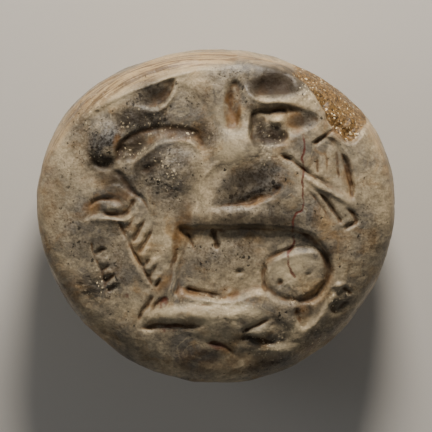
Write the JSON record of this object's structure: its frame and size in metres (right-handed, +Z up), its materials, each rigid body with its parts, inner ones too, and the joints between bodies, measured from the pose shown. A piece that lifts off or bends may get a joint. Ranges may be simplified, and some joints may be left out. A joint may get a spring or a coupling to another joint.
{
  "type": "stamp seal",
  "caption": "Small oval stone stamp seal with a flat face cut with a winged animal, a domed back and a string hole, lying on its back.",
  "frame": {"origin": "middle of the underside, on the small flat spot of the domed back that the seal lies on", "axes": "+Z up out of the carved face, +X to the right of the design, +Y to the top of the design"},
  "size_m": [0.025, 0.0234, 0.0114],
  "materials": {
    "stone": "worn polish, grey veins and brown soil in the cuts"
  },
  "bodies": {
    "root": {"seal": "stone"}
  },
  "joints": []
}
